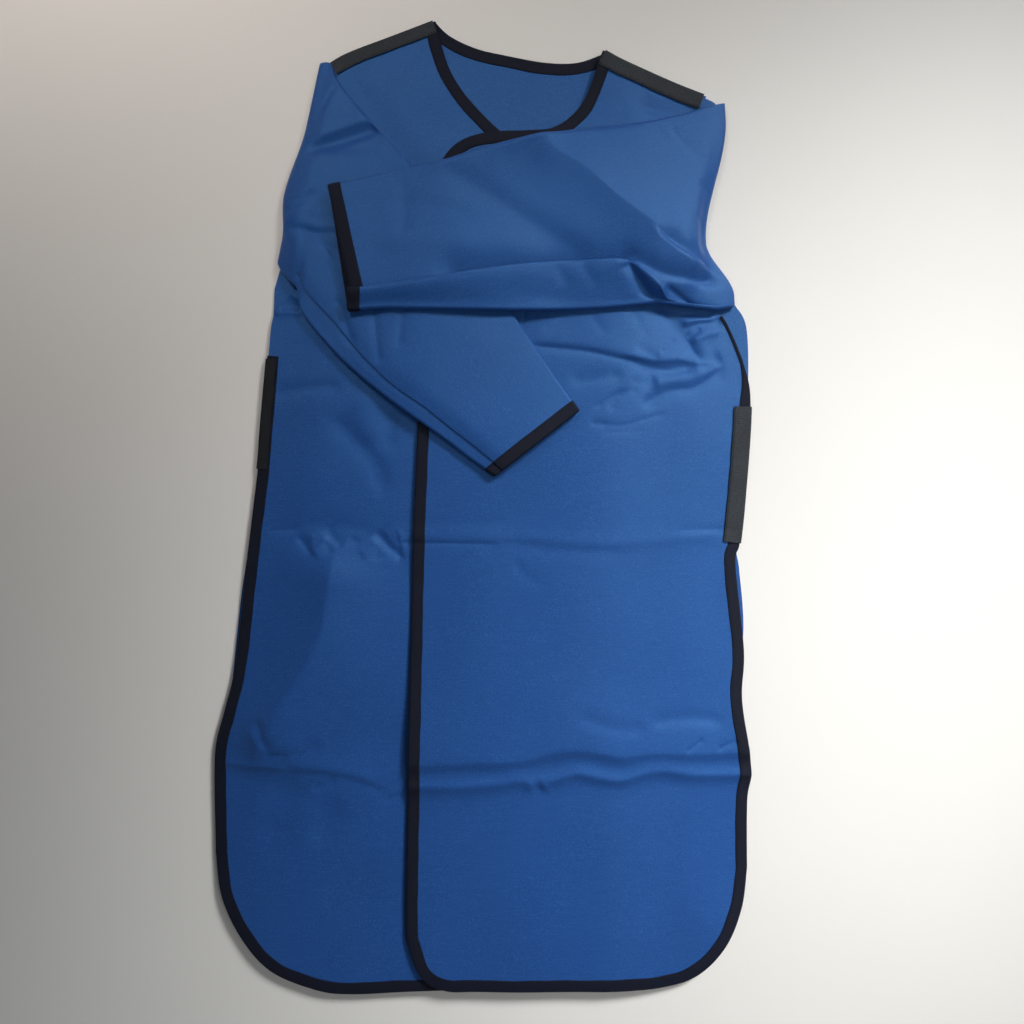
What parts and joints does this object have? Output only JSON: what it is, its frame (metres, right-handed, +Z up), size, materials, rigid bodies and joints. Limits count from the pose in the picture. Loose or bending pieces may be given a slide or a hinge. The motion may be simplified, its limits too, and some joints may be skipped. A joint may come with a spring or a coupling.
{
  "type": "sleeved x-ray protective apron",
  "caption": "Full-length wrap-front x-ray apron with sleeves folded across the chest, black edge binding, shoulder bands and side elastics, lying face up.",
  "frame": {"origin": "on the surface that it lies on, under the middle of its outline", "axes": "+Z up from the surface, +Y towards the neck, +X to the wearer's left"},
  "size_m": [0.6428, 1.165, 0.0464],
  "materials": {
    "cloth": "blue woven nylon over a protective core, low sheen",
    "tape": "black ribbed binding tape, stitched along its inner edge",
    "elastic": "black ribbed elastic webbing, matt"
  },
  "bodies": {
    "root": {"back_panel": "cloth", "back_neck_binding": "tape", "right_front_panel": "cloth", "right_front_binding": "tape", "left_front_panel": "cloth", "left_front_binding": "tape", "right_sleeve": "cloth", "right_cuff_binding": "tape", "left_sleeve": "cloth", "left_cuff_binding": "tape", "right_shoulder_band": "elastic", "left_shoulder_band": "elastic", "right_side_elastic": "elastic", "left_side_elastic": "elastic"}
  },
  "joints": []
}
